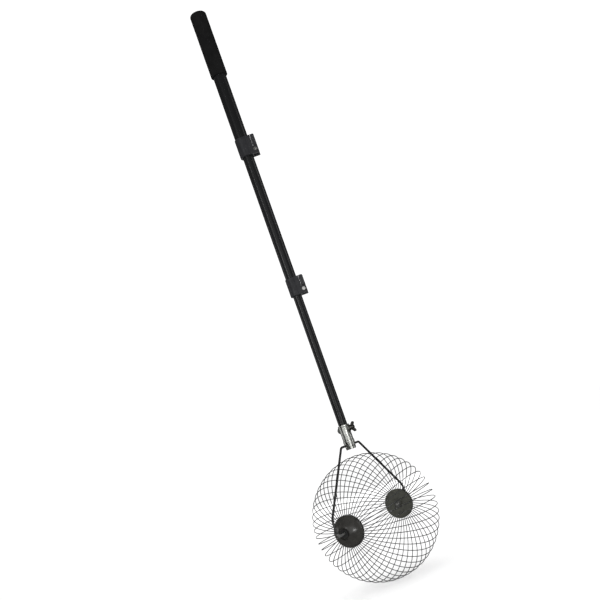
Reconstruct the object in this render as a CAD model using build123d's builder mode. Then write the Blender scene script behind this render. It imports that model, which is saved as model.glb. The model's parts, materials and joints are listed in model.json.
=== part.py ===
"""Ball retriever: a wire cage that rolls in a yoke, on a telescopic three-section pole.

Frame: +Z runs up the pole, the cage turns about an axle along Y, and the origin is on
the ground under the pole. All sizes are in millimetres.
"""

import os
from math import cos, radians, sin, sqrt

from build123d import *

os.makedirs("parts", exist_ok=True)

# ---------------------------------------------------------------- driving dimensions
running_clearance = 0.05  # radial, between a pin and what turns on it
sliding_clearance = 0.3  # radial, between sections that slide in each other
seat_clearance = 0.03  # radial, between pieces that are fixed together
face_clearance = 0.1  # between faces that turn or rest on each other
overshoot = 1.0  # how far a cut runs past the surface it opens

# Cage: bowed wires that run from one hub to the other, spread evenly about the axle.
cage_radius = 139.0  # to the outside of the wires at their widest
cage_wire_radius = 0.8
cage_wire_count = 52
cage_sector_count = 4  # the wires are written in this many groups
wire_end_radius = 31.0  # distance of the wire ends from the axle
wire_end_y = 133.06  # distance of the wire ends from the middle of the cage
axle_z = cage_radius

# Hubs, as distances from the middle of the cage along the axle.
hub_ring_outer = 33.4
hub_ring_inner = 22.0
hub_ring_y = 129.4
hub_ring_width = 5.2
hub_ring_chamfer = 0.6
wire_socket_radius = 0.95
ring_screw_skin = 1.0  # solid left of the ring behind its screw hole
cap_rim_radius = 33.4
cap_rim_y = hub_ring_y + hub_ring_width
cap_apex_y = 157.0
cap_wall = 1.6
cap_lip_radius = 13.0
cap_recess_radius = 11.6
cap_recess_y = 150.4
cap_step_radius = 9.4  # shallow step in the floor of the recess
cap_step_depth = 0.7
cap_floor_gap = 0.2  # between the cap and the edge of the bush's flange
disc_radius = 33.9
disc_thickness = 1.8
disc_rib_radii = (11.5, 16.0, 20.5, 25.0, 32.8)
disc_rib_width = 1.0
disc_rib_height = 0.9
hub_screw_orbit = 27.6
hub_screw_angle = 202.0  # degrees from +X towards +Z
hub_screw_radius = 1.5
hub_screw_head_radius = 2.7
hub_screw_head_height = 1.4
hub_screw_head_fillet = 0.6
bush_radius = 5.0
bush_flange_radius = 8.0
bush_flange_thickness = 2.0
bush_inner_y = 124.0

# Yoke: one bent wire. Its two ends turn in and are the pins that the cage runs on.
yoke_wire_radius = 2.5
yoke_crossbar_z = axle_z + 164.8
yoke_corner_y = 43.5
yoke_knee_y = 181.0
yoke_knee_z = axle_z + 35.0
yoke_pin_end_y = 118.5
yoke_ankle_bend = 12.0
yoke_knee_bend = 18.0
yoke_corner_bend = 9.0
pin_washer_y = 122.6
pin_washer_radius = 6.8
pin_washer_thickness = 1.1
cotter_y = 121.7
cotter_radius = 0.75
cotter_hole_radius = 0.9
cotter_shoulder = 0.8  # between the yoke's pin and the eye
cotter_angle = 196.0  # degrees from +X towards +Z, the way the legs point
cotter_leg = 11.0
cotter_eye_radius = 2.6

# Pole sections, top to bottom.
upper_tube_radius = 15.8
upper_tube_wall = 1.3
middle_tube_radius = 12.9
middle_tube_wall = 1.2
lower_tube_radius = 10.2
lower_tube_wall = 1.1
section_flange = 1.2  # height of the rolled flange at the top of a sliding section
section_bush_length = 28.0
section_bush_chamfer = 0.4
bush_rest_gap = 0.4  # between a bush and the collar's step that it stops on

grip_radius = 20.2
grip_bottom = axle_z + 1079.1
grip_top = axle_z + 1247.8
grip_end_wall = 5.0
grip_top_fillet = 7.0
grip_bottom_fillet = 1.5
upper_tube_top = grip_top - grip_end_wall
tube_plug_length = 8.0
tube_plug_chamfer = 1.0

# Lever clamps: a collar round the joint of two sections, with an ear block to one side
# that carries the lever. The ear block points along clamp_angle from +X.
clamp_angle = 28.0
clamp_wall = 1.9
upper_clamp_bottom = axle_z + 867.8
upper_clamp_height = 47.0
upper_clamp_reach = 29.8
lower_clamp_bottom = axle_z + 519.0
lower_clamp_height = 43.0
lower_clamp_reach = 26.8
clamp_pin_inset = 7.0  # from the outer edge of the ear block to the pin
clamp_pin_rise = 10.0  # from the bottom of the clamp to the pin
clamp_pin_radius = 3.0
clamp_pin_bore = 2.2
clamp_pin_head = 3.9
clamp_pin_head_height = 0.6
clamp_half_width = 13.5
clamp_slot_half_width = 8.2
clamp_cheek_height = 18.4
clamp_seat_rise = 22.0  # from the bottom of the clamp to the end of the outer tube
clamp_edge_fillet = 1.2
clamp_rim_chamfer = 0.8
lever_gap = 0.4
cam_radius = 7.1
cam_offset = 0.4
plate_depth = 3.0  # from the pin in to the back of the ear block
plate_foot_rise = 9.0  # from the pin to the foot of the thumb plate
plate_top_fillet = 3.0
plate_back_fillet = 1.0
lever_neck_inset = 1.0  # the neck stays this far inside the plate's outer face
cheek_corner_fillet = 6.0
shoe_half_width = 4.8
shoe_height = 9.6
lever_rib_count = 5
lever_rib_pitch = 3.2
lever_rib_depth = 0.7
lever_rib_drop = 6.0  # from the top of the plate to its highest rib
plate_groove_offset = 1.8  # from the pin, outwards
plate_groove_width = 1.4
plate_groove_depth = 0.7
plate_groove_margin = 3.5  # from each end of the plate to the groove
clamp_screw_radius = 1.6
clamp_screw_head_radius = 3.2
clamp_screw_head_height = 1.8
clamp_screw_head_fillet = 0.8
clamp_screw_grip = 1.0  # how far the screw goes into the tube's wall
clamp_screw_cross = (3.4, 0.8, 1.0)  # length, width and depth of the cross in its head
clamp_screw_drop = 12.0  # from the top of the clamp to the screw

# Bracket: two cast halves that clamp the pole's end and the yoke's crossbar.
bracket_top = axle_z + 209.8
bracket_bottom = axle_z + 154.5
bracket_taper_z = axle_z + 171.5
bracket_radius = 12.9
bracket_bore = lower_tube_radius + 0.2
bracket_foot_radius = 11.2
bracket_foot_bore = 8.0
bracket_gap = 1.4  # between the two halves, where they hold the tube
bracket_jaw_gap = 3.6  # between the two halves, where they hold the crossbar
bracket_foot_slot = 6.4  # across the crossbar
bracket_foot_mouth = 11.2  # along the crossbar
bracket_foot_slot_height = 6.3
bracket_rim_height = 3.0
bracket_rim_step = 0.8
bracket_rim_slope = 1.0
bracket_band_height = 3.0  # of the raised band above the taper
bolt_z = axle_z + 200.0
bolt_radius = 3.0
bolt_hole_radius = 3.15
bolt_head_radius = 6.2
bolt_head_height = 4.0
bolt_tip_x = 23.1
bolt_tip_chamfer = 0.6
bolt_boss_radius = 7.0
bolt_boss_x = 13.9
washer_radius = 6.5
washer_bore = 3.2
washer_thickness = 1.2
lower_tube_bottom = axle_z + 176.0
spacer_length = 36.0
nut_hub_radius = 5.2
nut_tip_radius = 4.0
nut_height = 9.5
nut_wing_span = 11.5  # from the bolt to the tip of a wing
nut_wing_reach = 12.0  # from the nut's face to the tip of a wing
nut_wing_width = 4.6
nut_wing_root = 4.0
nut_wing_thickness = 3.2

# ---------------------------------------------------------------- derived planes and axes
axle = Axis((0, 0, axle_z), (0, 1, 0))
axle_section = Plane(origin=(0, 0, axle_z), x_dir=(1, 0, 0), z_dir=(0, 0, 1))
clamp_u = Vector(cos(radians(clamp_angle)), sin(radians(clamp_angle)), 0)
clamp_v = Vector(-sin(radians(clamp_angle)), cos(radians(clamp_angle)), 0)
hub_sides = {"near": -1, "far": 1}


def clamp_plan(height):
    """Horizontal plane at a height, with its x along the clamps' ear blocks."""
    return Plane(origin=(0, 0, height), x_dir=clamp_u, z_dir=(0, 0, 1))


def clamp_side(height):
    """Upright plane through the pole, x along the ear block, y up, from a height."""
    return Plane(origin=(0, 0, height), x_dir=clamp_u, z_dir=clamp_v * -1)


def wire_plane(number):
    """Plane of one cage wire: x away from the axle, y along the axle."""
    turn = radians(360.0 * number / cage_wire_count)
    return Plane(
        origin=(0, 0, axle_z),
        x_dir=(cos(turn), 0, sin(turn)),
        z_dir=(-sin(turn), 0, cos(turn)),
    )


def in_hub_plane(side, distance, orbit=0.0, angle=0.0):
    """Plane square to the axle, facing outwards, centred off the axle by an orbit."""
    return Plane(
        origin=(orbit * cos(radians(angle)), side * distance, axle_z + orbit * sin(radians(angle))),
        x_dir=(1, 0, 0),
        z_dir=(0, side, 0),
    )


def tube_part(outer, wall, low, high):
    """Plain round tube about the pole's axis."""
    with BuildPart() as tube:
        with BuildSketch(Plane.XY.offset(low)):
            Circle(outer)
            Circle(outer - wall, mode=Mode.SUBTRACT)
        extrude(amount=high - low)
    return tube.part


# ---------------------------------------------------------------- grip and upper section
with BuildPart() as foam_grip:
    with BuildSketch(Plane.XY.offset(grip_bottom)):
        Circle(grip_radius)
    extrude(amount=grip_top - grip_bottom)
    fillet(foam_grip.edges().sort_by(Axis.Z)[-1], grip_top_fillet)
    fillet(foam_grip.edges().sort_by(Axis.Z)[0], grip_bottom_fillet)
    with BuildSketch(Plane.XY.offset(grip_bottom)):
        Circle(upper_tube_radius + seat_clearance)
    extrude(amount=upper_tube_top - grip_bottom, mode=Mode.SUBTRACT)
foam_grip.part.label = "foam_grip"
export_step(foam_grip.part, "parts/foam_grip.step")

upper_tube_bottom = upper_clamp_bottom + clamp_seat_rise
upper_screw_z = upper_clamp_bottom + upper_clamp_height - clamp_screw_drop
with BuildPart() as upper_tube:
    add(tube_part(upper_tube_radius, upper_tube_wall, upper_tube_bottom, upper_tube_top))
    with BuildSketch(Plane(origin=(0, 0, upper_screw_z), z_dir=clamp_v)):
        Circle(clamp_screw_radius + seat_clearance)
    extrude(amount=upper_tube_radius + overshoot, mode=Mode.SUBTRACT)
upper_tube.part.label = "upper_tube"
export_step(upper_tube.part, "parts/upper_tube.step")

with BuildPart() as upper_tube_plug:
    with BuildSketch(Plane.XY.offset(upper_tube_top - tube_plug_length)):
        Circle(upper_tube_radius - upper_tube_wall - seat_clearance)
    extrude(amount=tube_plug_length)
    chamfer(upper_tube_plug.edges().sort_by(Axis.Z)[0], tube_plug_chamfer)
upper_tube_plug.part.label = "upper_tube_plug"
export_step(upper_tube_plug.part, "parts/upper_tube_plug.step")


# ---------------------------------------------------------------- sliding sections
def section_bush(section_radius, bore_around, low):
    """Ring under the flange of a sliding section; it runs inside the section above."""
    with BuildPart() as bush:
        with BuildSketch(Plane.XY.offset(low)):
            Circle(bore_around - sliding_clearance)
            Circle(section_radius + running_clearance, mode=Mode.SUBTRACT)
        extrude(amount=section_bush_length)
        chamfer(bush.edges().group_by(Axis.Z)[0].sort_by(SortBy.RADIUS)[-1], section_bush_chamfer)
    return bush.part


def flanged_section(section_radius, wall, low, flange_low, flange_radius):
    """Tube with a rolled flange at its top, which rests on the section's bush."""
    with BuildPart() as section:
        add(tube_part(section_radius, wall, low, flange_low + section_flange))
        with BuildSketch(Plane.XY.offset(flange_low)):
            Circle(flange_radius)
            Circle(section_radius - wall, mode=Mode.SUBTRACT)
        extrude(amount=section_flange)
    return section.part


middle_bush_low = upper_tube_bottom + bush_rest_gap
middle_flange_low = middle_bush_low + section_bush_length + face_clearance
upper_bore = upper_tube_radius - upper_tube_wall
with BuildPart() as middle_bush:
    add(section_bush(middle_tube_radius, upper_bore, middle_bush_low))
middle_bush.part.label = "middle_bush"
export_step(middle_bush.part, "parts/middle_bush.step")

middle_tube_bottom = lower_clamp_bottom + clamp_seat_rise
lower_screw_z = lower_clamp_bottom + lower_clamp_height - clamp_screw_drop
with BuildPart() as middle_tube:
    add(
        flanged_section(
            middle_tube_radius,
            middle_tube_wall,
            middle_tube_bottom,
            middle_flange_low,
            upper_bore - 2 * sliding_clearance,
        )
    )
    with BuildSketch(Plane(origin=(0, 0, lower_screw_z), z_dir=clamp_v)):
        Circle(clamp_screw_radius + seat_clearance)
    extrude(amount=middle_tube_radius + overshoot, mode=Mode.SUBTRACT)
middle_tube.part.label = "middle_tube"
export_step(middle_tube.part, "parts/middle_tube.step")

lower_bush_low = middle_tube_bottom + bush_rest_gap
lower_flange_low = lower_bush_low + section_bush_length + face_clearance
middle_bore = middle_tube_radius - middle_tube_wall
with BuildPart() as lower_bush:
    add(section_bush(lower_tube_radius, middle_bore, lower_bush_low))
lower_bush.part.label = "lower_bush"
export_step(lower_bush.part, "parts/lower_bush.step")

with BuildPart() as lower_tube:
    add(
        flanged_section(
            lower_tube_radius,
            lower_tube_wall,
            lower_tube_bottom,
            lower_flange_low,
            middle_bore - 2 * sliding_clearance,
        )
    )
    with BuildSketch(Plane.YZ):
        with Locations((0, bolt_z)):
            Circle(bolt_hole_radius)
    extrude(amount=lower_tube_radius + overshoot, both=True, mode=Mode.SUBTRACT)
lower_tube.part.label = "lower_tube"
export_step(lower_tube.part, "parts/lower_tube.step")

# Spacer inside the end of the lower tube, so that the bolt can't crush it.
with BuildPart() as lower_tube_spacer:
    with BuildSketch(Plane.XY.offset(lower_tube_bottom)):
        Circle(lower_tube_radius - lower_tube_wall - seat_clearance)
    extrude(amount=spacer_length)
    with BuildSketch(Plane.YZ):
        with Locations((0, bolt_z)):
            Circle(bolt_hole_radius)
    extrude(amount=lower_tube_radius, both=True, mode=Mode.SUBTRACT)
lower_tube_spacer.part.label = "lower_tube_spacer"
export_step(lower_tube_spacer.part, "parts/lower_tube_spacer.step")


# ---------------------------------------------------------------- lever clamps
def clamp_collar(bottom, height, reach, outer_tube, inner_tube):
    """Collar with its ear block: a seat for the outer tube over a guide for the inner one."""
    collar_radius = outer_tube + clamp_wall
    pin_u = reach - clamp_pin_inset
    guide_radius = inner_tube + sliding_clearance
    slot_floor = pin_u - cam_offset - cam_radius - lever_gap
    block_face = pin_u - plate_depth
    with BuildPart() as collar:
        with BuildSketch(clamp_plan(bottom)):
            Circle(collar_radius)
        extrude(amount=height)
        chamfer(collar.edges(), clamp_rim_chamfer)
        with BuildSketch(clamp_plan(bottom)):
            with Locations((block_face / 2, 0)):
                Rectangle(block_face, 2 * clamp_half_width)
        extrude(amount=height)
        # Cheeks either side of the lever, with their outer top corner rounded off so
        # that the thumb plate can swing past it.
        with BuildSketch(clamp_side(bottom)):
            with BuildLine():
                FilletPolyline(
                    (block_face / 2, 0),
                    (reach, 0),
                    (reach, clamp_cheek_height),
                    (block_face / 2, clamp_cheek_height),
                    radius=[clamp_edge_fillet, cheek_corner_fillet],
                )
                Line((block_face / 2, clamp_cheek_height), (block_face / 2, 0))
            make_face()
        extrude(amount=clamp_half_width, both=True)
        with BuildSketch(clamp_side(bottom)):
            with Locations(((slot_floor + reach + overshoot) / 2, clamp_cheek_height / 2)):
                Rectangle(reach + overshoot - slot_floor, clamp_cheek_height + 2 * overshoot)
        extrude(amount=clamp_slot_half_width, both=True, mode=Mode.SUBTRACT)
        # Window for the shoe, from the lever's slot into the guide bore.
        with BuildSketch(clamp_side(bottom)):
            with Locations((slot_floor / 2 + overshoot, clamp_pin_rise)):
                Rectangle(slot_floor, shoe_height + 2 * lever_gap)
        extrude(amount=shoe_half_width + lever_gap, both=True, mode=Mode.SUBTRACT)
        # Seat of the outer tube, and the guide bore under it.
        with BuildSketch(Plane.XY.offset(bottom + clamp_seat_rise)):
            Circle(outer_tube + seat_clearance)
        extrude(amount=height, mode=Mode.SUBTRACT)
        with BuildSketch(Plane.XY.offset(bottom)):
            Circle(guide_radius)
        extrude(amount=height, mode=Mode.SUBTRACT)
        # Pin hole through both cheeks, and the screw hole in the back of the collar.
        with BuildSketch(clamp_side(bottom)):
            with Locations((pin_u, clamp_pin_rise)):
                Circle(clamp_pin_radius + seat_clearance)
        extrude(amount=clamp_half_width + overshoot, both=True, mode=Mode.SUBTRACT)
        with BuildSketch(Plane(origin=(0, 0, bottom + height - clamp_screw_drop), z_dir=clamp_v)):
            Circle(clamp_screw_radius + seat_clearance)
        extrude(amount=collar_radius + overshoot, mode=Mode.SUBTRACT)
    return collar.part


def clamp_lever(bottom, height, reach):
    """Flip lever: a cam on the pin between the cheeks, and a thumb plate above them."""
    pin_u = reach - clamp_pin_inset
    plate_back = pin_u - plate_depth + lever_gap
    plate_foot = clamp_pin_rise + plate_foot_rise
    plate_height = height - plate_foot
    neck_depth = reach - lever_neck_inset - plate_back
    with BuildPart() as lever:
        with BuildSketch(clamp_side(bottom)):
            with BuildLine():
                FilletPolyline(
                    (reach, plate_foot),
                    (reach, height),
                    (plate_back, height),
                    (plate_back, plate_foot),
                    radius=[plate_top_fillet, plate_back_fillet],
                )
                Line((plate_back, plate_foot), (reach, plate_foot))
            make_face()
        extrude(amount=clamp_half_width, both=True)
        with BuildSketch(clamp_side(bottom)):
            with Locations((pin_u - cam_offset, clamp_pin_rise)):
                Circle(cam_radius)
            with Locations((plate_back + neck_depth / 2, clamp_pin_rise + plate_foot_rise / 2)):
                Rectangle(neck_depth, plate_foot_rise + 2 * overshoot)
        extrude(amount=clamp_slot_half_width - lever_gap, both=True)
        with BuildSketch(clamp_side(bottom)):
            with Locations((pin_u, clamp_pin_rise)):
                Circle(clamp_pin_radius + running_clearance)
        extrude(amount=clamp_half_width, both=True, mode=Mode.SUBTRACT)
        # Finger ribs across the outer face of the thumb plate.
        rib_middle = height - lever_rib_drop - lever_rib_pitch * (lever_rib_count - 1) / 2
        with BuildSketch(clamp_side(bottom)):
            with Locations((reach, rib_middle)):
                with GridLocations(0, lever_rib_pitch, 1, lever_rib_count):
                    Circle(lever_rib_depth)
        extrude(amount=clamp_half_width, both=True, mode=Mode.SUBTRACT)
        # A long groove in each side of the thumb plate.
        for face in (-1, 1):
            groove_plane = Plane(
                origin=clamp_v * (face * clamp_half_width) + Vector(0, 0, bottom),
                x_dir=clamp_u,
                z_dir=clamp_v * -1,
            )
            with BuildSketch(groove_plane):
                with Locations((pin_u + plate_groove_offset, plate_foot + plate_height / 2)):
                    SlotOverall(plate_height - 2 * plate_groove_margin, plate_groove_width, rotation=90)
            extrude(amount=plate_groove_depth, both=True, mode=Mode.SUBTRACT)
    return lever.part


def clamp_pin(bottom, reach):
    """Hollow rivet that the lever turns on, with a rolled head at each end."""
    with BuildPart() as pin:
        with BuildSketch(clamp_side(bottom)):
            with Locations((reach - clamp_pin_inset, clamp_pin_rise)):
                Circle(clamp_pin_radius)
        extrude(amount=clamp_half_width, both=True)
        for face in (-1, 1):
            head_plane = Plane(
                origin=clamp_v * (face * clamp_half_width) + Vector(0, 0, bottom),
                x_dir=clamp_u,
                z_dir=clamp_v * -1,
            )
            with BuildSketch(head_plane):
                with Locations((reach - clamp_pin_inset, clamp_pin_rise)):
                    Circle(clamp_pin_head)
            extrude(amount=-face * clamp_pin_head_height)
        with BuildSketch(clamp_side(bottom)):
            with Locations((reach - clamp_pin_inset, clamp_pin_rise)):
                Circle(clamp_pin_bore)
        extrude(amount=clamp_half_width + clamp_pin_head_height, both=True, mode=Mode.SUBTRACT)
    return pin.part


def clamp_shoe(bottom, reach, inner_tube):
    """Pressure shoe that the cam pushes against the inner tube."""
    shoe_face = reach - clamp_pin_inset - cam_offset - cam_radius - lever_gap / 2
    with BuildPart() as shoe:
        with BuildSketch(clamp_plan(bottom + clamp_pin_rise - shoe_height / 2)):
            with Locations((shoe_face / 2, 0)):
                Rectangle(shoe_face, 2 * shoe_half_width)
            Circle(inner_tube + sliding_clearance, mode=Mode.SUBTRACT)
        extrude(amount=shoe_height)
    return shoe.part


def screw_plane(distance, screw_z):
    """Upright plane square to the screw, at a distance from the pole's axis."""
    return Plane(origin=clamp_v * distance + Vector(0, 0, screw_z), z_dir=clamp_v)


def clamp_screw(screw_z, outer_tube):
    """Short pan-head screw that pins the collar to the tube in its seat."""
    head_from = outer_tube + clamp_wall
    cross_length, cross_width, cross_depth = clamp_screw_cross
    with BuildPart() as screw:
        with BuildSketch(screw_plane(outer_tube - clamp_screw_grip, screw_z)):
            Circle(clamp_screw_radius)
        extrude(amount=clamp_wall + clamp_screw_grip)
        with BuildSketch(screw_plane(head_from, screw_z)):
            Circle(clamp_screw_head_radius)
        extrude(amount=clamp_screw_head_height)
        head_face = screw.faces().sort_by(Axis((0, 0, 0), clamp_v))[-1]
        fillet(head_face.edges(), clamp_screw_head_fillet)
        with BuildSketch(screw_plane(head_from + clamp_screw_head_height, screw_z)):
            Rectangle(cross_length, cross_width)
            Rectangle(cross_width, cross_length)
        extrude(amount=-cross_depth, mode=Mode.SUBTRACT)
    return screw.part


upper_clamp = (upper_clamp_bottom, upper_clamp_height, upper_clamp_reach)
lower_clamp = (lower_clamp_bottom, lower_clamp_height, lower_clamp_reach)
clamps = {
    "upper": (*upper_clamp, upper_tube_radius, middle_tube_radius),
    "lower": (*lower_clamp, middle_tube_radius, lower_tube_radius),
}
for place, (bottom, height, reach, outer_tube, inner_tube) in clamps.items():
    with BuildPart() as collar_part:
        add(clamp_collar(bottom, height, reach, outer_tube, inner_tube))
    collar_part.part.label = f"{place}_clamp_collar"
    export_step(collar_part.part, f"parts/{place}_clamp_collar.step")

    with BuildPart() as lever_part:
        add(clamp_lever(bottom, height, reach))
    lever_part.part.label = f"{place}_clamp_lever"
    export_step(lever_part.part, f"parts/{place}_clamp_lever.step")

    with BuildPart() as pin_part:
        add(clamp_pin(bottom, reach))
    pin_part.part.label = f"{place}_clamp_pin"
    export_step(pin_part.part, f"parts/{place}_clamp_pin.step")

    with BuildPart() as shoe_part:
        add(clamp_shoe(bottom, reach, inner_tube))
    shoe_part.part.label = f"{place}_clamp_shoe"
    export_step(shoe_part.part, f"parts/{place}_clamp_shoe.step")

    with BuildPart() as screw_part:
        add(clamp_screw(bottom + height - clamp_screw_drop, outer_tube))
    screw_part.part.label = f"{place}_clamp_screw"
    export_step(screw_part.part, f"parts/{place}_clamp_screw.step")


# ---------------------------------------------------------------- bracket
def bracket_half(side):
    """One cast half of the bracket, on the +X or -X side of the pole."""
    waist = bracket_radius - bracket_rim_step
    band_top = bracket_taper_z + bracket_band_height
    rim_low = bracket_top - bracket_rim_height
    with BuildPart() as half:
        with BuildSketch(Plane.XZ):
            with BuildLine():
                Polyline(
                    (bracket_bore, bracket_top),
                    (bracket_radius, bracket_top),
                    (bracket_radius, rim_low),
                    (waist, rim_low - bracket_rim_slope),
                    (waist, band_top + bracket_rim_slope),
                    (bracket_radius, band_top),
                    (bracket_radius, bracket_taper_z),
                    (bracket_foot_radius, bracket_bottom),
                    (bracket_foot_bore, bracket_bottom),
                    (bracket_foot_bore, bracket_taper_z),
                    (bracket_bore, lower_tube_bottom),
                    close=True,
                )
            make_face()
        revolve(axis=Axis.Z, revolution_arc=360)
        # Flat boss under the bolt's head or the washer.
        with BuildSketch(Plane.YZ.offset(side * bracket_bore)):
            with Locations((0, bolt_z)):
                Circle(bolt_boss_radius)
        extrude(amount=side * (bolt_boss_x - bracket_bore))
        with BuildSketch(Plane.XY.offset(lower_tube_bottom)):
            Circle(bracket_bore)
        extrude(amount=bracket_top - lower_tube_bottom, mode=Mode.SUBTRACT)
        # Parting: all of the other half goes, with a narrow gap along the tube.
        with BuildSketch(Plane.XZ):
            with Locations((side * (bracket_gap / 2 - bolt_boss_x), (bracket_top + bracket_bottom) / 2)):
                Rectangle(2 * bolt_boss_x, bracket_top - bracket_bottom + 2 * overshoot)
        extrude(amount=bracket_radius + overshoot, both=True, mode=Mode.SUBTRACT)
        # The jaw is a wider gap with the seat of the crossbar, and the foot opens wide under it.
        with BuildSketch(Plane.XZ):
            with Locations((0, (bracket_taper_z + bracket_bottom) / 2)):
                Rectangle(bracket_jaw_gap, bracket_taper_z - bracket_bottom)
            with Locations((0, yoke_crossbar_z)):
                Circle(yoke_wire_radius + seat_clearance)
            with Locations((0, bracket_bottom + bracket_foot_slot_height / 2)):
                Rectangle(bracket_foot_mouth, bracket_foot_slot_height)
        extrude(amount=bracket_radius + overshoot, both=True, mode=Mode.SUBTRACT)
        # The slot across the foot leaves a prong on each side, and the bolt's hole.
        with BuildSketch(Plane.YZ):
            with Locations((0, bracket_bottom + bracket_foot_slot_height / 2)):
                Rectangle(bracket_foot_slot, bracket_foot_slot_height)
            with Locations((0, bolt_z)):
                Circle(bolt_hole_radius)
        extrude(amount=side * (bolt_boss_x + overshoot), mode=Mode.SUBTRACT)
    return half.part


for word, side in (("left", -1), ("right", 1)):
    with BuildPart() as half_part:
        add(bracket_half(side))
    half_part.part.label = f"bracket_{word}_half"
    export_step(half_part.part, f"parts/bracket_{word}_half.step")

# Round-headed bolt through the bracket, the tube and its spacer, along X.
with BuildPart() as bracket_bolt:
    with BuildSketch(Plane.YZ.offset(-bolt_boss_x)):
        with Locations((0, bolt_z)):
            Circle(bolt_radius)
    extrude(amount=bolt_boss_x + bolt_tip_x)
    chamfer(bracket_bolt.edges().sort_by(Axis.X)[-1], bolt_tip_chamfer)
    head_ball = (bolt_head_radius**2 + bolt_head_height**2) / (2 * bolt_head_height)
    with BuildSketch(Plane(origin=(-bolt_boss_x, 0, bolt_z), x_dir=(0, 1, 0), z_dir=(0, 0, 1))):
        with BuildLine():
            Line((0, 0), (bolt_head_radius, 0))
            RadiusArc((bolt_head_radius, 0), (0, bolt_head_height), -head_ball)
            Line((0, bolt_head_height), (0, 0))
        make_face()
    revolve(axis=Axis((0, 0, bolt_z), (1, 0, 0)))
bracket_bolt.part.label = "bracket_bolt"
export_step(bracket_bolt.part, "parts/bracket_bolt.step")

with BuildPart() as bracket_washer:
    with BuildSketch(Plane.YZ.offset(bolt_boss_x)):
        with Locations((0, bolt_z)):
            Circle(washer_radius)
            Circle(washer_bore, mode=Mode.SUBTRACT)
    extrude(amount=washer_thickness)
bracket_washer.part.label = "bracket_washer"
export_step(bracket_washer.part, "parts/bracket_washer.step")

# Wing nut: a coned hub with two wings that rise away from the bracket.
nut_x = bolt_boss_x + washer_thickness + face_clearance
wing_tip_x = nut_x + nut_wing_reach
with BuildPart() as wing_nut:
    with BuildSketch(Plane.YZ.offset(nut_x)):
        with Locations((0, bolt_z)):
            Circle(nut_hub_radius)
    with BuildSketch(Plane.YZ.offset(nut_x + nut_height)):
        with Locations((0, bolt_z)):
            Circle(nut_tip_radius)
    loft()
    for way in (-1, 1):
        with BuildSketch(Plane.XZ):
            with BuildLine():
                Polyline(
                    (nut_x + overshoot, bolt_z),
                    (nut_x + overshoot, bolt_z + way * nut_wing_root),
                    (wing_tip_x - nut_wing_width, bolt_z + way * nut_wing_span),
                    (wing_tip_x, bolt_z + way * nut_wing_span),
                    (wing_tip_x, bolt_z + way * (nut_wing_span - nut_wing_width)),
                    (nut_x + nut_height, bolt_z + way * nut_wing_root),
                    (nut_x + nut_height, bolt_z),
                    close=True,
                )
            wing_face = make_face()
            tip_corners = wing_face.vertices().group_by(Axis((0, 0, bolt_z), (0, 0, way)))[-1]
            fillet(tip_corners, nut_wing_width / 2 - face_clearance)
        extrude(amount=nut_wing_thickness / 2, both=True)
    with BuildSketch(Plane.YZ.offset(nut_x - overshoot)):
        with Locations((0, bolt_z)):
            Circle(bolt_radius + running_clearance)
    extrude(amount=nut_wing_reach + 2 * overshoot, mode=Mode.SUBTRACT)
wing_nut.part.label = "wing_nut"
export_step(wing_nut.part, "parts/wing_nut.step")

# ---------------------------------------------------------------- yoke
with BuildPart() as yoke_wire:
    with BuildLine(Plane.YZ) as yoke_path:
        FilletPolyline(
            (-yoke_pin_end_y, axle_z),
            (-yoke_knee_y, axle_z),
            (-yoke_knee_y, yoke_knee_z),
            (-yoke_corner_y, yoke_crossbar_z),
            (yoke_corner_y, yoke_crossbar_z),
            (yoke_knee_y, yoke_knee_z),
            (yoke_knee_y, axle_z),
            (yoke_pin_end_y, axle_z),
            radius=[
                yoke_ankle_bend,
                yoke_knee_bend,
                yoke_corner_bend,
                yoke_corner_bend,
                yoke_knee_bend,
                yoke_ankle_bend,
            ],
        )
    with BuildSketch(Plane(origin=yoke_path.line @ 0, z_dir=yoke_path.line % 0)):
        Circle(yoke_wire_radius)
    sweep()
    # A cross hole near each end takes the split pin.
    cotter_way = Vector(cos(radians(cotter_angle)), 0, sin(radians(cotter_angle)))
    for side in hub_sides.values():
        hole_origin = Vector(0, side * cotter_y, axle_z)
        with BuildSketch(Plane(origin=hole_origin, z_dir=cotter_way)):
            Circle(cotter_hole_radius)
        extrude(amount=yoke_wire_radius + overshoot, both=True, mode=Mode.SUBTRACT)
yoke_wire.part.label = "yoke_wire"
export_step(yoke_wire.part, "parts/yoke_wire.step")

for place, side in hub_sides.items():
    with BuildPart() as pin_washer:
        with BuildSketch(in_hub_plane(side, pin_washer_y)):
            Circle(pin_washer_radius)
            Circle(yoke_wire_radius + seat_clearance, mode=Mode.SUBTRACT)
        extrude(amount=pin_washer_thickness)
    pin_washer.part.label = f"{place}_pin_washer"
    export_step(pin_washer.part, f"parts/{place}_pin_washer.step")

    # Split pin: its doubled leg goes through the yoke's end, its eye stays outside.
    cotter_origin = Vector(0, side * cotter_y, axle_z)
    eye_centre = cotter_origin - cotter_way * (yoke_wire_radius + cotter_eye_radius + cotter_shoulder)
    with BuildPart() as cotter:
        with BuildSketch(Plane(origin=eye_centre + cotter_way * cotter_eye_radius, z_dir=cotter_way)):
            Circle(cotter_radius)
        extrude(amount=yoke_wire_radius + cotter_shoulder + cotter_leg)
        with BuildLine(Plane(origin=eye_centre, z_dir=(0, 1, 0))) as eye_path:
            CenterArc((0, 0), cotter_eye_radius, 0, 360)
        with BuildSketch(Plane(origin=eye_path.line @ 0, z_dir=eye_path.line % 0)):
            Circle(cotter_radius)
        sweep(path=eye_path.line)
    cotter.part.label = f"{place}_split_pin"
    export_step(cotter.part, f"parts/{place}_split_pin.step")


# ---------------------------------------------------------------- hubs
cap_ball = (cap_rim_radius**2 + (cap_apex_y - cap_rim_y) ** 2) / (2 * (cap_apex_y - cap_rim_y))
cap_centre_y = cap_apex_y - cap_ball


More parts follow.
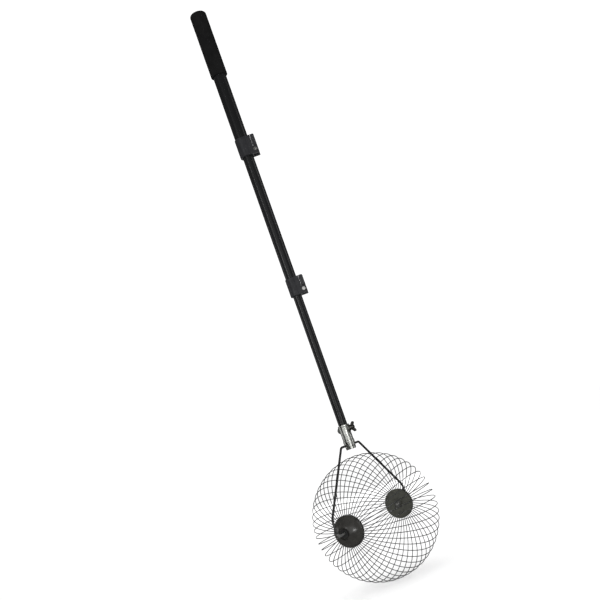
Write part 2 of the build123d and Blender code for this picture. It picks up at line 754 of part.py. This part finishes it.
def dome_y(radius, ball):
    """Distance along the axle of a dome of the cap, at a radius from the axle."""
    return cap_centre_y + sqrt(ball**2 - radius**2)


def hub_cap(side):
    """Pressed domed cap, open towards the cage, with a recess round the pin."""
    inner_ball = cap_ball - cap_wall
    inner_rim = sqrt(inner_ball**2 - (cap_rim_y - cap_centre_y) ** 2)
    inner_lip = cap_lip_radius + cap_wall
    lip_foot = cap_recess_radius + cap_wall
    floor_back = cap_recess_y - cap_wall
    flange_edge = bush_flange_radius + cap_floor_gap
    middle_radius = (cap_rim_radius + cap_lip_radius) / 2
    with BuildPart() as cap:
        with BuildSketch(axle_section):
            with BuildLine():
                ThreePointArc(
                    (cap_rim_radius, side * cap_rim_y),
                    (middle_radius, side * dome_y(middle_radius, cap_ball)),
                    (cap_lip_radius, side * dome_y(cap_lip_radius, cap_ball)),
                )
                Polyline(
                    (cap_lip_radius, side * dome_y(cap_lip_radius, cap_ball)),
                    (cap_recess_radius, side * cap_recess_y),
                    (cap_step_radius, side * cap_recess_y),
                    (cap_step_radius, side * (cap_recess_y - cap_step_depth)),
                    (flange_edge, side * (cap_recess_y - cap_step_depth)),
                    (flange_edge, side * cap_recess_y),
                    (bush_radius + seat_clearance, side * cap_recess_y),
                    (bush_radius + seat_clearance, side * floor_back),
                    (lip_foot, side * floor_back),
                    (inner_lip, side * dome_y(inner_lip, inner_ball)),
                )
                ThreePointArc(
                    (inner_lip, side * dome_y(inner_lip, inner_ball)),
                    (middle_radius, side * dome_y(middle_radius, inner_ball)),
                    (inner_rim, side * cap_rim_y),
                )
                Line((inner_rim, side * cap_rim_y), (cap_rim_radius, side * cap_rim_y))
            make_face()
        revolve(axis=axle)
    return cap.part


def hub_ring(side):
    """Ring with a blind socket for the end of every wire."""
    with BuildPart() as ring:
        with BuildSketch(in_hub_plane(side, hub_ring_y)):
            Circle(hub_ring_outer)
            Circle(hub_ring_inner, mode=Mode.SUBTRACT)
        extrude(amount=hub_ring_width)
        rims = ring.edges().filter_by(GeomType.CIRCLE).sort_by(SortBy.RADIUS)[-2:]
        chamfer(rims, hub_ring_chamfer)
        for number in range(cage_wire_count):
            plane = wire_plane(number)
            local_end = Vector(wire_end_radius, side * wire_end_y, 0)
            end = plane.from_local_coords(local_end)
            way = plane.from_local_coords(local_end + wire_tangent(side)) - end
            with BuildSketch(Plane(origin=end, z_dir=way)):
                Circle(wire_socket_radius)
            extrude(amount=hub_ring_outer - wire_end_radius + 2 * overshoot, mode=Mode.SUBTRACT)
        with BuildSketch(in_hub_plane(side, hub_ring_y, hub_screw_orbit, hub_screw_angle)):
            Circle(hub_screw_radius + seat_clearance)
        extrude(amount=hub_ring_width - ring_screw_skin, mode=Mode.SUBTRACT)
    return ring.part


def hub_disc(side):
    """Ribbed disc that closes the hub on the inside of the cage."""
    with BuildPart() as disc:
        with BuildSketch(in_hub_plane(side, hub_ring_y - disc_thickness)):
            Circle(disc_radius)
            Circle(bush_radius + seat_clearance, mode=Mode.SUBTRACT)
        extrude(amount=disc_thickness)
        with BuildSketch(in_hub_plane(side, hub_ring_y - disc_thickness)):
            for rib in disc_rib_radii:
                Circle(rib + disc_rib_width / 2)
                Circle(rib - disc_rib_width / 2, mode=Mode.SUBTRACT)
        extrude(amount=-disc_rib_height)
        with BuildSketch(in_hub_plane(side, hub_ring_y, hub_screw_orbit, hub_screw_angle)):
            Circle(hub_screw_radius + seat_clearance)
        extrude(amount=-2 * disc_thickness, mode=Mode.SUBTRACT)
    return disc.part


def hub_bush(side):
    """Flanged plastic bush through the hub, running on the yoke's pin."""
    with BuildPart() as bush:
        with BuildSketch(in_hub_plane(side, bush_inner_y)):
            Circle(bush_radius)
        extrude(amount=cap_recess_y - bush_inner_y)
        with BuildSketch(in_hub_plane(side, cap_recess_y)):
            Circle(bush_flange_radius)
        extrude(amount=bush_flange_thickness)
        with BuildSketch(in_hub_plane(side, bush_inner_y)):
            Circle(yoke_wire_radius + running_clearance)
        extrude(amount=cap_apex_y - bush_inner_y, mode=Mode.SUBTRACT)
    return bush.part


def hub_screw(side):
    """Small screw that holds the disc to the ring."""
    with BuildPart() as screw:
        with BuildSketch(in_hub_plane(side, hub_ring_y - disc_thickness, hub_screw_orbit, hub_screw_angle)):
            Circle(hub_screw_radius)
        extrude(amount=disc_thickness + hub_ring_width - 2 * ring_screw_skin)
        with BuildSketch(in_hub_plane(side, hub_ring_y - disc_thickness, hub_screw_orbit, hub_screw_angle)):
            Circle(hub_screw_head_radius)
        extrude(amount=-hub_screw_head_height)
        head_face = screw.faces().sort_by(Axis((0, 0, 0), (0, -side, 0)))[-1]
        fillet(head_face.edges(), hub_screw_head_fillet)
    return screw.part


def wire_arc_centre():
    """Distance from the axle of the centre of a wire's arc, on the wire's own side."""
    widest = cage_radius - cage_wire_radius
    return (widest**2 - wire_end_radius**2 - wire_end_y**2) / (2 * (widest - wire_end_radius))


def wire_tangent(side):
    """Direction in which a wire leaves its socket, in the plane of the wire."""
    from_centre = Vector(wire_end_radius - wire_arc_centre(), side * wire_end_y, 0)
    return Vector(from_centre.Y * side, -from_centre.X * side, 0).normalized()


for place, side in hub_sides.items():
    with BuildPart() as cap_part:
        add(hub_cap(side))
    cap_part.part.label = f"{place}_hub_cap"
    export_step(cap_part.part, f"parts/{place}_hub_cap.step")

    with BuildPart() as ring_part:
        add(hub_ring(side))
    ring_part.part.label = f"{place}_hub_ring"
    export_step(ring_part.part, f"parts/{place}_hub_ring.step")

    with BuildPart() as disc_part:
        add(hub_disc(side))
    disc_part.part.label = f"{place}_hub_disc"
    export_step(disc_part.part, f"parts/{place}_hub_disc.step")

    with BuildPart() as bush_part:
        add(hub_bush(side))
    bush_part.part.label = f"{place}_hub_bush"
    export_step(bush_part.part, f"parts/{place}_hub_bush.step")

    with BuildPart() as hub_screw_part:
        add(hub_screw(side))
    hub_screw_part.part.label = f"{place}_hub_screw"
    export_step(hub_screw_part.part, f"parts/{place}_hub_screw.step")

# ---------------------------------------------------------------- cage wires
wires_per_sector = cage_wire_count // cage_sector_count
for sector in range(cage_sector_count):
    with BuildPart() as cage_wires:
        for number in range(sector * wires_per_sector, (sector + 1) * wires_per_sector):
            with BuildLine(wire_plane(number)) as bow:
                ThreePointArc(
                    (wire_end_radius, -wire_end_y),
                    (cage_radius - cage_wire_radius, 0),
                    (wire_end_radius, wire_end_y),
                )
            with BuildSketch(Plane(origin=bow.line @ 0, z_dir=bow.line % 0)):
                Circle(cage_wire_radius)
            sweep(path=bow.line)
    cage_wires.part.label = f"cage_wires_{sector + 1}"
    export_step(cage_wires.part, f"parts/cage_wires_{sector + 1}.step")
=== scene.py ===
"""Looks of the ball retriever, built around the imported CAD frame.

Everything is in metres, in the CAD model's frame: +Z up the pole, Y along the cage's axle,
the origin on the floor under the pole.
"""

import json
from math import cos, pi, radians, sin, sqrt

import bpy
from mathutils import Matrix, Vector, noise


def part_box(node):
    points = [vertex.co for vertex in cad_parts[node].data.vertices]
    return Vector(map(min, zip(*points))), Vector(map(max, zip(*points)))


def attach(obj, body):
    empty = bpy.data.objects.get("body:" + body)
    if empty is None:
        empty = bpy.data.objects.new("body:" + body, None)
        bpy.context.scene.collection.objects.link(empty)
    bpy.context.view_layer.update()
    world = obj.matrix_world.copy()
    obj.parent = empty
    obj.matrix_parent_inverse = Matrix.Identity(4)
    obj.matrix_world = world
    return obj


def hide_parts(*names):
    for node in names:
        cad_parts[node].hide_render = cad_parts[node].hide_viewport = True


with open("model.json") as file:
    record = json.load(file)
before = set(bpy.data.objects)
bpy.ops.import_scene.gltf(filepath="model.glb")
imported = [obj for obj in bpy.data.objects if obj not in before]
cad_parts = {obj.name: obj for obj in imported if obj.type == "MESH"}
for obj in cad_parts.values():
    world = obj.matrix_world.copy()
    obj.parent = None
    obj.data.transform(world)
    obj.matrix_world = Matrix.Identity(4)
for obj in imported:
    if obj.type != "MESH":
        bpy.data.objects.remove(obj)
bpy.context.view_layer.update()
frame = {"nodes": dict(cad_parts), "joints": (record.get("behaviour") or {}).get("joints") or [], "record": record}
record = frame["record"]
nodes = frame["nodes"]
joints = {joint["name"]: joint for joint in frame["joints"]}
axle_z = joints["cage_roll"]["pos_m"][2]

# ---------------------------------------------------------------- camera
camera_azimuth = radians(28.0)  # from -Y towards +X
camera_pitch = radians(9.0)  # the line of sight rises by this much
camera_roll = radians(-19.53)  # the pole leans to the left
camera_place = Vector((0.9668, -1.8124, axle_z + 0.183))
camera_lens = 54.79  # millimetres, as is the sensor's width
sensor_width = 36.0
sight_range = 60.0


def make_camera():
    """The camera: turned about the pole, tipped up a little, then rolled about its own line of sight."""
    data = bpy.data.cameras.new("camera")
    data.lens = camera_lens
    data.sensor_width = sensor_width
    data.sensor_fit = "HORIZONTAL"
    data.clip_end = sight_range
    camera = bpy.data.objects.new("camera", data)
    bpy.context.scene.collection.objects.link(camera)
    back = Vector(
        (
            sin(camera_azimuth) * cos(camera_pitch),
            -cos(camera_azimuth) * cos(camera_pitch),
            -sin(camera_pitch),
        )
    )
    right = Vector((0, 0, 1)).cross(back).normalized()
    up = back.cross(right)
    turned_right = right * cos(camera_roll) + up * sin(camera_roll)
    turned_up = up * cos(camera_roll) - right * sin(camera_roll)
    turn = Matrix((turned_right, turned_up, back)).transposed()
    camera.matrix_world = Matrix.Translation(camera_place) @ turn.to_4x4()
    bpy.context.scene.camera = camera


make_camera()


# ---------------------------------------------------------------- materials
def colour_sockets(sockets):
    """The colour sockets of a Mix node, which has sockets of the same names for other kinds."""
    return [socket for socket in sockets if socket.type == "RGBA"]


class Surface:
    """A principled material with object-space procedural detail, built step by step."""

    def __init__(self, name, colour, roughness, metallic=0.0, specular=0.5):
        self.material = bpy.data.materials.new(name)
        self.material.use_nodes = True
        self.tree = self.material.node_tree
        self.shader = self.tree.nodes["Principled BSDF"]
        self.shader.inputs["Base Color"].default_value = (*colour, 1.0)
        self.shader.inputs["Roughness"].default_value = roughness
        self.shader.inputs["Metallic"].default_value = metallic
        self.shader.inputs["Specular IOR Level"].default_value = specular
        self.colour = colour
        self.roughness = roughness
        self.place = self.node("ShaderNodeTexCoord").outputs["Object"]
        self.normal = None

    def node(self, kind, **settings):
        made = self.tree.nodes.new(kind)
        for key, value in settings.items():
            setattr(made, key, value)
        return made

    def link(self, source, target):
        self.tree.links.new(source, target)

    def stretched(self, scale):
        """The object's coordinates, scaled along each axis."""
        mapping = self.node("ShaderNodeMapping")
        mapping.inputs["Scale"].default_value = scale
        self.link(self.place, mapping.inputs["Vector"])
        return mapping.outputs["Vector"]

    def noise(self, scale, detail=3.0, roughness=0.55, stretch=(1, 1, 1)):
        """Noise with features about 1/scale metres across."""
        texture = self.node("ShaderNodeTexNoise")
        texture.inputs["Scale"].default_value = scale
        texture.inputs["Detail"].default_value = detail
        texture.inputs["Roughness"].default_value = roughness
        self.link(self.stretched(stretch), texture.inputs["Vector"])
        return texture.outputs["Fac"]

    def cells(self, scale):
        """Distance to the middle of small cells, as of foam or an eroded mould."""
        voronoi = self.node("ShaderNodeTexVoronoi")
        voronoi.inputs["Scale"].default_value = scale
        self.link(self.place, voronoi.inputs["Vector"])
        return voronoi.outputs["Distance"]

    def ramp(self, source, low, high, low_at=0.3, high_at=0.7):
        """A number from low to high as the source goes from low_at to high_at."""
        ranged = self.node("ShaderNodeMapRange")
        ranged.inputs["From Min"].default_value = low_at
        ranged.inputs["From Max"].default_value = high_at
        ranged.inputs["To Min"].default_value = low
        ranged.inputs["To Max"].default_value = high
        self.link(source, ranged.inputs["Value"])
        return ranged.outputs["Result"]

    def mixed(self, factor, first, second):
        """Colour output that goes from first, a colour or an output, to the colour second."""
        mix = self.node("ShaderNodeMix", data_type="RGBA")
        first_socket, second_socket = colour_sockets(mix.inputs)
        if isinstance(first, tuple):
            first_socket.default_value = (*first, 1.0)
        else:
            self.link(first, first_socket)
        second_socket.default_value = (*second, 1.0)
        self.link(factor, mix.inputs["Factor"])
        return colour_sockets(mix.outputs)[0]

    def vary_roughness(self, source, spread):
        varied = self.ramp(source, self.roughness - spread, self.roughness + spread)
        self.link(varied, self.shader.inputs["Roughness"])

    def vary_colour(self, source, other, low_at=0.35, high_at=0.7):
        factor = self.ramp(source, 0.0, 1.0, low_at, high_at)
        self.link(self.mixed(factor, self.colour, other), self.shader.inputs["Base Color"])

    def worn_low(self, source, metal, height, above=0.0025, below=0.0015, least=0.55):
        """Bare metal, in patches, where the coat has worn away below a height."""
        split = self.node("ShaderNodeSeparateXYZ")
        self.link(self.place, split.inputs["Vector"])
        low_part = self.ramp(split.outputs["Z"], 1.0, 0.0, height - below, height + above)
        worn = self.node("ShaderNodeMath", operation="MULTIPLY")
        self.link(low_part, worn.inputs[0])
        self.link(self.ramp(source, least, 1.0), worn.inputs[1])
        coat = self.shader.inputs["Base Color"].links[0].from_socket
        bare = self.mixed(worn.outputs["Value"], coat, metal)
        self.link(bare, self.shader.inputs["Base Color"])
        self.link(worn.outputs["Value"], self.shader.inputs["Metallic"])

    def bump(self, source, height_mm, strength=1.0):
        """Relief of a height, on top of the relief that the surface has already."""
        bump = self.node("ShaderNodeBump")
        bump.inputs["Strength"].default_value = strength
        bump.inputs["Distance"].default_value = height_mm / 1000.0
        self.link(source, bump.inputs["Height"])
        if self.normal is not None:
            self.link(self.normal, bump.inputs["Normal"])
        self.normal = bump.outputs["Normal"]
        self.link(self.normal, self.shader.inputs["Normal"])


def foam_surface():
    """Closed-cell foam: fine cells, a little dust and a matt skin."""
    s = Surface("grip_foam", (0.0036, 0.0036, 0.0037), 0.80, specular=0.16)
    s.vary_colour(s.noise(60, 4), (0.0062, 0.0062, 0.0063))
    s.vary_roughness(s.noise(140, 2), 0.10)
    s.bump(s.noise(320, 3), 0.10)
    s.bump(s.cells(1500), 0.10, 0.7)
    return s.material


def pole_surface():
    """Satin black coat on drawn tube, with faint streaks along the pole."""
    s = Surface("pole_black", (0.0050, 0.0052, 0.0056), 0.26, specular=0.34)
    s.vary_colour(s.noise(24, 3, stretch=(1, 1, 0.15)), (0.0080, 0.0083, 0.0090))
    s.vary_roughness(s.noise(70, 4, stretch=(1, 1, 0.06)), 0.06)
    s.bump(s.noise(500, 2), 0.004)
    return s.material


def plastic_surface(name, colour, other, roughness):
    """Moulded plastic with a fine spark-eroded texture and handling marks."""
    s = Surface(name, colour, roughness, specular=0.32)
    s.vary_colour(s.noise(90, 4), other)
    s.vary_roughness(s.noise(160, 3), 0.07)
    s.bump(s.noise(1800, 2), 0.02)
    s.bump(s.cells(2600), 0.012, 0.6)
    return s.material


def plated_surface(name, colour, other, roughness, grain=(1, 1, 0.08)):
    """Plated metal: cloudy plating with faint marks, by default drawn out along the pole."""
    s = Surface(name, colour, roughness, metallic=1.0)
    s.vary_colour(s.noise(140, 4), other)
    s.vary_roughness(s.noise(220, 4), 0.08)
    s.bump(s.noise(1500, 3, stretch=grain), 0.010)
    s.bump(s.noise(260, 3), 0.05, 0.5)
    return s.material


def coated_wire_surface():
    """Black coat on bent wire, worn to the steel at the ends that the hubs run on."""
    s = Surface("yoke_black", (0.011, 0.011, 0.0112), 0.34)
    s.vary_colour(s.noise(120, 4), (0.022, 0.022, 0.0215))
    s.vary_roughness(s.noise(180, 3), 0.09)
    s.bump(s.noise(1200, 2), 0.02)
    s.worn_low(s.noise(300, 3), (0.42, 0.42, 0.41), axle_z + yoke_wear_height)
    return s.material


def hub_surface():
    """Pressed cap with a glossy, slightly cloudy black coat."""
    s = Surface("hub_black", (0.0200, 0.0192, 0.0175), 0.24)
    s.vary_colour(s.noise(70, 4), (0.0300, 0.0290, 0.0262))
    s.vary_roughness(s.noise(120, 4), 0.07)
    s.bump(s.noise(700, 2), 0.012)
    return s.material


def disc_surface():
    """Dull olive-grey moulding on the inside of a hub."""
    s = Surface("disc_dark", (0.034, 0.035, 0.028), 0.40)
    s.vary_colour(s.noise(110, 4), (0.054, 0.055, 0.044))
    s.vary_roughness(s.noise(150, 3), 0.10)
    s.bump(s.noise(900, 3), 0.03)
    return s.material


def wire_surface():
    """Dark spring wire."""
    s = Surface("cage_wire", (0.16, 0.16, 0.17), 0.42, metallic=1.0)
    s.vary_colour(s.noise(60, 3), (0.25, 0.25, 0.26))
    s.vary_roughness(s.noise(240, 3), 0.08)
    s.bump(s.noise(2500, 2), 0.01)
    return s.material


yoke_wear_height = 0.0045  # above the axle
all_ways = (1, 1, 1)
surfaces = {
    "grip_foam": foam_surface(),
    "pole_black": pole_surface(),
    "plug_plastic": plastic_surface("plug_plastic", (0.012, 0.012, 0.012), (0.02, 0.02, 0.02), 0.5),
    "clamp_plastic": plastic_surface(
        "clamp_plastic", (0.0120, 0.0124, 0.0146), (0.0185, 0.0190, 0.0215), 0.44
    ),
    "lever_plastic": plastic_surface(
        "lever_plastic", (0.0165, 0.0170, 0.0192), (0.0245, 0.0250, 0.0275), 0.42
    ),
    "bush_plastic": plastic_surface("bush_plastic", (0.20, 0.20, 0.185), (0.27, 0.27, 0.25), 0.5),
    "bracket_zinc": plated_surface("bracket_zinc", (0.62, 0.63, 0.60), (0.48, 0.49, 0.46), 0.36),
    "bolt_steel": plated_surface("bolt_steel", (0.46, 0.46, 0.45), (0.34, 0.34, 0.33), 0.38, all_ways),
    "nut_steel": plated_surface("nut_steel", (0.20, 0.195, 0.18), (0.13, 0.125, 0.115), 0.34, all_ways),
    "small_steel": plated_surface("small_steel", (0.62, 0.62, 0.60), (0.50, 0.50, 0.48), 0.25, all_ways),
    "yoke_black": coated_wire_surface(),
    "hub_black": hub_surface(),
    "disc_dark": disc_surface(),
    "cage_wire": wire_surface(),
}
for subpart in record["subparts"]:
    mesh = nodes[subpart["node"]].data
    mesh.materials.clear()
    mesh.materials.append(surfaces[subpart["material_slot"]])


# ---------------------------------------------------------------- mesh helpers
def mesh_object(name, vertices, faces, slot):
    """A smooth mesh object whose material is the surface of a slot of the record."""
    mesh = bpy.data.meshes.new(name)
    mesh.from_pydata(vertices, [], faces)
    mesh.validate()
    mesh.polygons.foreach_set("use_smooth", [True] * len(mesh.polygons))
    mesh.materials.append(surfaces[slot])
    made = bpy.data.objects.new(name, mesh)
    bpy.context.scene.collection.objects.link(made)
    return made


def lathe(name, profile, slot, steps):
    """Closed solid turned about the pole's axis from (radius, height) pairs, ends at radius 0."""
    vertices = []
    faces = []
    rings = []
    for radius, height in profile:
        count = steps if radius else 1
        rings.append(list(range(len(vertices), len(vertices) + count)))
        for step in range(count):
            turn = 2 * pi * step / steps
            vertices.append((radius * cos(turn), radius * sin(turn), height))
    for below, above in zip(rings, rings[1:]):
        for step in range(steps):
            after = (step + 1) % steps
            if len(below) == 1:
                faces.append((below[0], above[after], above[step]))
            elif len(above) == 1:
                faces.append((below[step], below[after], above[0]))
            else:
                faces.append((below[step], below[after], above[after], above[step]))
    return mesh_object(name, vertices, faces, slot)


def quarter_circle(centre_radius, centre_height, radius, start, steps):
    """(radius, height) pairs of a quarter circle, anticlockwise from an angle."""
    turns = [start + pi / 2 * step / steps for step in range(steps + 1)]
    return [(centre_radius + radius * cos(turn), centre_height + radius * sin(turn)) for turn in turns]


# ---------------------------------------------------------------- foam grip
grip_steps_round = 144
grip_steps_along = 110
grip_steps_rim = 8
grip_steps_top = 12
grip_top_radius = 0.0070
grip_rim_radius = 0.0022
grip_top_thickness = 0.010
grip_lip = 0.0008  # the bore widens by this much at the lower rim
grip_lip_rise = 0.0012
grip_lip_foot = 0.0002
dent_size = 1 / 55
dent_depth = 0.00035
pore_size = 1 / 420
pore_depth = 0.00018
bore_margin = 0.001  # no dents this close to the bore


def grip_profile(bore, outer, bottom, top):
    """Outline of the sleeve from the end of its bore, down and round its rim, up and over its top."""
    bore_end = top - grip_top_thickness
    straight_start = bottom + grip_rim_radius
    straight_end = top - grip_top_radius
    rise = (straight_end - straight_start) / grip_steps_along
    flat_radius = outer - grip_top_radius
    profile = [(0.0, bore_end), (bore, bore_end), (bore, bottom + grip_lip_rise)]
    profile.append((bore + grip_lip, bottom + grip_lip_foot))
    rim_centre = outer - grip_rim_radius
    profile += quarter_circle(rim_centre, straight_start, grip_rim_radius, -pi / 2, grip_steps_rim)
    profile += [(outer, straight_start + rise * step) for step in range(1, grip_steps_along)]
    profile += quarter_circle(flat_radius, straight_end, grip_top_radius, 0.0, grip_steps_top)
    profile += [(flat_radius * share, top) for share in (0.75, 0.5, 0.25, 0.0)]
    return profile


def foam_grip():
    """The foam sleeve: closed, rounded top, soft lower rim, faint dents from moulding and use."""
    low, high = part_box("foam_grip")
    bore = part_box("upper_tube")[1].x
    profile = grip_profile(bore, (high.x - low.x) / 2, low.z, high.z)
    grip = lathe("foam_sleeve", profile, "grip_foam", grip_steps_round)
    for vertex in grip.data.vertices:
        place = vertex.co
        radius = sqrt(place.x**2 + place.y**2)
        if radius > bore + bore_margin:
            dent = 0.5 + 0.5 * noise.fractal(place / dent_size, 1.0, 2.0, 3)
            pore = 0.5 + 0.5 * noise.noise(place / pore_size)
            scale = (radius - dent_depth * dent - pore_depth * pore) / radius
            vertex.co = Vector((place.x * scale, place.y * scale, place.z))
    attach(grip, "handle")
    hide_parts("foam_grip")


foam_grip()


# ---------------------------------------------------------------- studio
floor_size = 14.0
floor_drop = 0.0005  # below the cage, so that the two never share a surface
floor_colour = (0.93, 0.93, 0.93, 1)
soft_boxes = (
    # name, azimuth, distance, height, width, tall, radiance, height of the aim
    ("front_soft", 32.0, 3.4, 0.65, 2.3, 2.4, 0.75, 0.7),
    ("key_left", -3.0, 3.2, 1.05, 0.30, 1.7, 9.0, 0.7),
    ("side_right", 110.0, 3.0, 0.9, 0.6, 2.6, 2.2, 0.7),
    ("side_left", -75.0, 3.0, 0.5, 1.2, 2.2, 1.1, 0.7),
    ("low_right", 49.0, 2.4, 0.08, 0.7, 0.17, 26.0, 0.14),
    ("back_soft", 208.0, 3.2, 0.9, 1.6, 2.4, 0.9, 0.7),
)
fill_strength = 1.15
glossy_strength = 0.08
backdrop_strength = 1.1


def make_stage():
    """A wide pale floor that runs out of sight in every direction."""
    mesh = bpy.data.meshes.new("floor")
    half = floor_size / 2
    corners = [(-half, -half, 0), (half, -half, 0), (half, half, 0), (-half, half, 0)]
    mesh.from_pydata(corners, [], [(0, 1, 2, 3)])
    floor = bpy.data.objects.new("floor", mesh)
    bpy.context.scene.collection.objects.link(floor)
    floor.location.z = -floor_drop
    material = bpy.data.materials.new("floor")
    material.use_nodes = True
    shader = material.node_tree.nodes["Principled BSDF"]
    shader.inputs["Base Color"].default_value = floor_colour
    shader.inputs["Roughness"].default_value = 0.9
    shader.inputs["Specular IOR Level"].default_value = 0.1
    mesh.materials.append(material)
    floor.visible_glossy = False


def make_light(name, azimuth, distance, height, width, tall, radiance, aim_height):
    """Soft box facing the pole from an azimuth in degrees, measured from -Y towards +X."""
    data = bpy.data.lights.new(name, "AREA")
    data.shape = "RECTANGLE"
    data.size = width
    data.size_y = tall
    data.energy = radiance * pi * width * tall
    light = bpy.data.objects.new(name, data)
    bpy.context.scene.collection.objects.link(light)
    turn = radians(azimuth)
    place = Vector((distance * sin(turn), -distance * cos(turn), height))
    light.location = place
    aim = Vector((0, 0, aim_height)) - place
    light.rotation_euler = aim.to_track_quat("-Z", "Y").to_euler()
    light.visible_camera = False


def make_world():
    """White behind the object, soft white for the fill, and dark in reflections."""
    world = bpy.data.worlds.new("studio")
    bpy.context.scene.world = world
    world.use_nodes = True
    tree = world.node_tree
    tree.nodes.clear()
    path = tree.nodes.new("ShaderNodeLightPath")

    def white(strength):
        background = tree.nodes.new("ShaderNodeBackground")
        background.inputs["Color"].default_value = (1, 1, 1, 1)
        background.inputs["Strength"].default_value = strength
        return background.outputs[0]

    def switch(ray_kind, otherwise, for_kind):
        mix = tree.nodes.new("ShaderNodeMixShader")
        tree.links.new(path.outputs[ray_kind], mix.inputs[0])
        tree.links.new(otherwise, mix.inputs[1])
        tree.links.new(for_kind, mix.inputs[2])
        return mix.outputs[0]

    lighting = switch("Is Glossy Ray", white(fill_strength), white(glossy_strength))
    seen = switch("Is Camera Ray", lighting, white(backdrop_strength))
    out = tree.nodes.new("ShaderNodeOutputWorld")
    tree.links.new(seen, out.inputs["Surface"])


make_stage()
make_world()
for soft_box in soft_boxes:
    make_light(*soft_box)
bpy.context.scene.view_settings.view_transform = "Standard"
